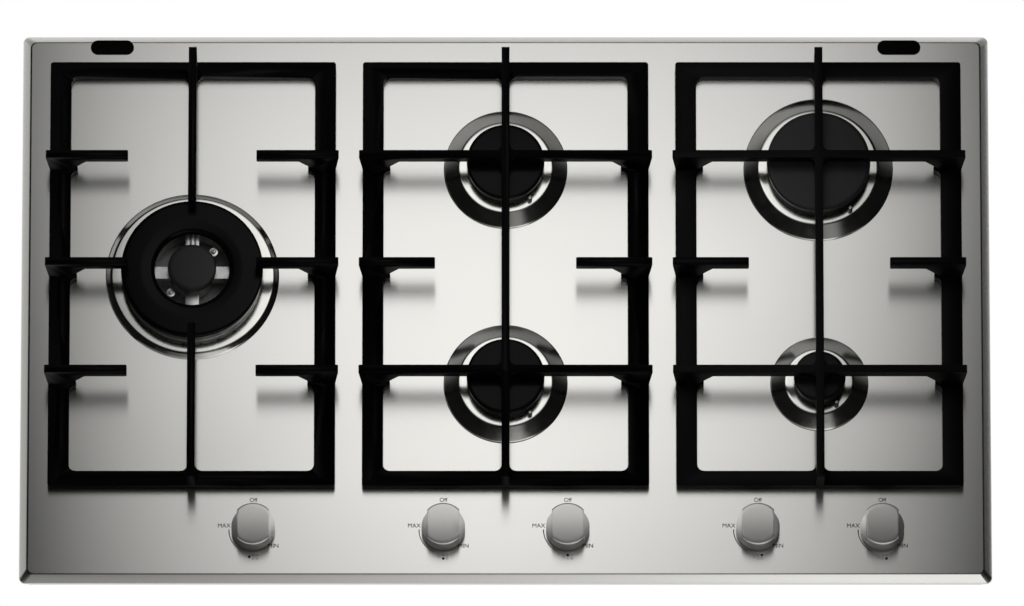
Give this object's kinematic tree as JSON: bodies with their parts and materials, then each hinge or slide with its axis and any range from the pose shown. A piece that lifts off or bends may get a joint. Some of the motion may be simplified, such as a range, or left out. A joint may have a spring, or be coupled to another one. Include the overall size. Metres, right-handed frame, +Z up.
{
  "type": "gas cooktop",
  "caption": "Built-in gas cooktop: rimmed steel plate, polished burner rings, enamelled caps, cast grates and front knobs over a shallow tray.",
  "frame": {"origin": "centre of the plate's outline, at the height of the tray's flat underside", "axes": "+X to the right along the long front edge, +Y to the rear, +Z up"},
  "size_m": [0.86, 0.51, 0.106],
  "materials": {
    "brushed_steel": "fine brushed stainless steel, grain along X",
    "polished_steel": "mirror polished stainless steel",
    "galvanised_sheet": "galvanised steel sheet, dull grey",
    "galvanised_tube": "galvanised steel tube",
    "cast_aluminium": "die-cast aluminium, matt",
    "aluminium_tube": "drawn aluminium tube",
    "black_enamel": "semi-matt black enamel on steel",
    "cast_iron": "matt black enamelled cast iron",
    "satin_metal": "satin nickel coloured metal",
    "brass": "machined brass",
    "sensor_metal": "heat-tinted copper alloy",
    "black_rubber": "matt black rubber",
    "foam": "closed-cell foam strip",
    "white_ceramic": "white glazed ceramic",
    "black_plastic": "matt black moulded plastic"
  },
  "bodies": {
    "hob": {"top_plate": "brushed_steel", "worktop_seal": "foam", "burner_tray": "galvanised_sheet", "slot_plug_left": "black_rubber", "slot_plug_right": "black_rubber", "burner_ring_left": "polished_steel", "burner_cup_left": "cast_aluminium", "burner_ring_rear_centre": "polished_steel", "burner_cup_rear_centre": "cast_aluminium", "burner_ring_front_centre": "polished_steel", "burner_cup_front_centre": "cast_aluminium", "burner_ring_rear_right": "polished_steel", "burner_cup_rear_right": "cast_aluminium", "burner_ring_front_right": "polished_steel", "burner_cup_front_right": "cast_aluminium", "electrode_left": "white_ceramic", "electrode_rear_centre": "white_ceramic", "electrode_front_centre": "white_ceramic", "electrode_rear_right": "white_ceramic", "electrode_front_right": "white_ceramic", "flame_sensor_left": "sensor_metal", "valve_body_left": "brass", "feed_pipe_left": "aluminium_tube", "valve_body_rear_centre": "brass", "feed_pipe_rear_centre": "aluminium_tube", "valve_body_front_centre": "brass", "feed_pipe_front_centre": "aluminium_tube", "valve_body_rear_right": "brass", "feed_pipe_rear_right": "aluminium_tube", "valve_body_front_right": "brass", "feed_pipe_front_right": "aluminium_tube", "gas_manifold": "galvanised_tube", "gas_inlet_pipe": "galvanised_tube", "spark_switch_strip": "black_plastic", "spark_generator": "black_plastic", "terminal_box": "black_plastic"},
    "grate_left": {"grate_left": "cast_iron"},
    "grate_centre": {"grate_centre": "cast_iron"},
    "grate_right": {"grate_right": "cast_iron"},
    "head_left": {"burner_head_left": "cast_aluminium"},
    "cap_left_outer": {"burner_cap_left_outer": "black_enamel"},
    "cap_left_centre": {"burner_cap_left_centre": "black_enamel"},
    "head_rear_centre": {"burner_head_rear_centre": "cast_aluminium"},
    "cap_rear_centre": {"burner_cap_rear_centre": "black_enamel"},
    "head_front_centre": {"burner_head_front_centre": "cast_aluminium"},
    "cap_front_centre": {"burner_cap_front_centre": "black_enamel"},
    "head_rear_right": {"burner_head_rear_right": "cast_aluminium"},
    "cap_rear_right": {"burner_cap_rear_right": "black_enamel"},
    "head_front_right": {"burner_head_front_right": "cast_aluminium"},
    "cap_front_right": {"burner_cap_front_right": "black_enamel"},
    "spindle_left": {"spindle_left": "brass"},
    "knob_left": {"knob_left": "satin_metal"},
    "spindle_rear_centre": {"spindle_rear_centre": "brass"},
    "knob_rear_centre": {"knob_rear_centre": "satin_metal"},
    "spindle_front_centre": {"spindle_front_centre": "brass"},
    "knob_front_centre": {"knob_front_centre": "satin_metal"},
    "spindle_rear_right": {"spindle_rear_right": "brass"},
    "knob_rear_right": {"knob_rear_right": "satin_metal"},
    "spindle_front_right": {"spindle_front_right": "brass"},
    "knob_front_right": {"knob_front_right": "satin_metal"}
  },
  "joints": [
    {"name": "grate_left_lift", "type": "slide", "parent": "hob", "child": "grate_left", "axis": [0, 0, 1], "range_m": [0, 0.06]},
    {"name": "grate_centre_lift", "type": "slide", "parent": "hob", "child": "grate_centre", "axis": [0, 0, 1], "range_m": [0, 0.06]},
    {"name": "grate_right_lift", "type": "slide", "parent": "hob", "child": "grate_right", "axis": [0, 0, 1], "range_m": [0, 0.06]},
    {"name": "head_left_lift", "type": "slide", "parent": "hob", "child": "head_left", "axis": [0, 0, 1], "range_m": [0, 0.0065]},
    {"name": "cap_left_outer_lift", "type": "slide", "parent": "head_left", "child": "cap_left_outer", "axis": [0, 0, 1], "range_m": [0, 0.0065]},
    {"name": "cap_left_centre_lift", "type": "slide", "parent": "head_left", "child": "cap_left_centre", "axis": [0, 0, 1], "range_m": [0, 0.04]},
    {"name": "head_rear_centre_lift", "type": "slide", "parent": "hob", "child": "head_rear_centre", "axis": [0, 0, 1], "range_m": [0, 0.0065]},
    {"name": "cap_rear_centre_lift", "type": "slide", "parent": "head_rear_centre", "child": "cap_rear_centre", "axis": [0, 0, 1], "range_m": [0, 0.0065]},
    {"name": "head_front_centre_lift", "type": "slide", "parent": "hob", "child": "head_front_centre", "axis": [0, 0, 1], "range_m": [0, 0.0065]},
    {"name": "cap_front_centre_lift", "type": "slide", "parent": "head_front_centre", "child": "cap_front_centre", "axis": [0, 0, 1], "range_m": [0, 0.0065]},
    {"name": "head_rear_right_lift", "type": "slide", "parent": "hob", "child": "head_rear_right", "axis": [0, 0, 1], "range_m": [0, 0.0065]},
    {"name": "cap_rear_right_lift", "type": "slide", "parent": "head_rear_right", "child": "cap_rear_right", "axis": [0, 0, 1], "range_m": [0, 0.0065]},
    {"name": "head_front_right_lift", "type": "slide", "parent": "hob", "child": "head_front_right", "axis": [0, 0, 1], "range_m": [0, 0.0065]},
    {"name": "cap_front_right_lift", "type": "slide", "parent": "head_front_right", "child": "cap_front_right", "axis": [0, 0, 1], "range_m": [0, 0.0065]},
    {"name": "knob_left_push", "type": "slide", "parent": "hob", "child": "spindle_left", "axis": [0, 0, -1], "range_m": [0, 0.003], "stiffness_N_per_m": 1500, "springref_m": -0.004},
    {"name": "knob_left_turn", "type": "hinge", "parent": "spindle_left", "child": "knob_left", "pos_m": [-0.223, -0.2075, 0.072], "axis": [0, 0, 1], "range_deg": [0, 225]},
    {"name": "knob_rear_centre_push", "type": "slide", "parent": "hob", "child": "spindle_rear_centre", "axis": [0, 0, -1], "range_m": [0, 0.003], "stiffness_N_per_m": 1500, "springref_m": -0.004},
    {"name": "knob_rear_centre_turn", "type": "hinge", "parent": "spindle_rear_centre", "child": "knob_rear_centre", "pos_m": [0.055, -0.2075, 0.072], "axis": [0, 0, 1], "range_deg": [0, 225]},
    {"name": "knob_front_centre_push", "type": "slide", "parent": "hob", "child": "spindle_front_centre", "axis": [0, 0, -1], "range_m": [0, 0.003], "stiffness_N_per_m": 1500, "springref_m": -0.004},
    {"name": "knob_front_centre_turn", "type": "hinge", "parent": "spindle_front_centre", "child": "knob_front_centre", "pos_m": [-0.055, -0.2075, 0.072], "axis": [0, 0, 1], "range_deg": [0, 225]},
    {"name": "knob_rear_right_push", "type": "slide", "parent": "hob", "child": "spindle_rear_right", "axis": [0, 0, -1], "range_m": [0, 0.003], "stiffness_N_per_m": 1500, "springref_m": -0.004},
    {"name": "knob_rear_right_turn", "type": "hinge", "parent": "spindle_rear_right", "child": "knob_rear_right", "pos_m": [0.223, -0.2075, 0.072], "axis": [0, 0, 1], "range_deg": [0, 225]},
    {"name": "knob_front_right_push", "type": "slide", "parent": "hob", "child": "spindle_front_right", "axis": [0, 0, -1], "range_m": [0, 0.003], "stiffness_N_per_m": 1500, "springref_m": -0.004},
    {"name": "knob_front_right_turn", "type": "hinge", "parent": "spindle_front_right", "child": "knob_front_right", "pos_m": [0.333, -0.2075, 0.072], "axis": [0, 0, 1], "range_deg": [0, 225]}
  ]
}
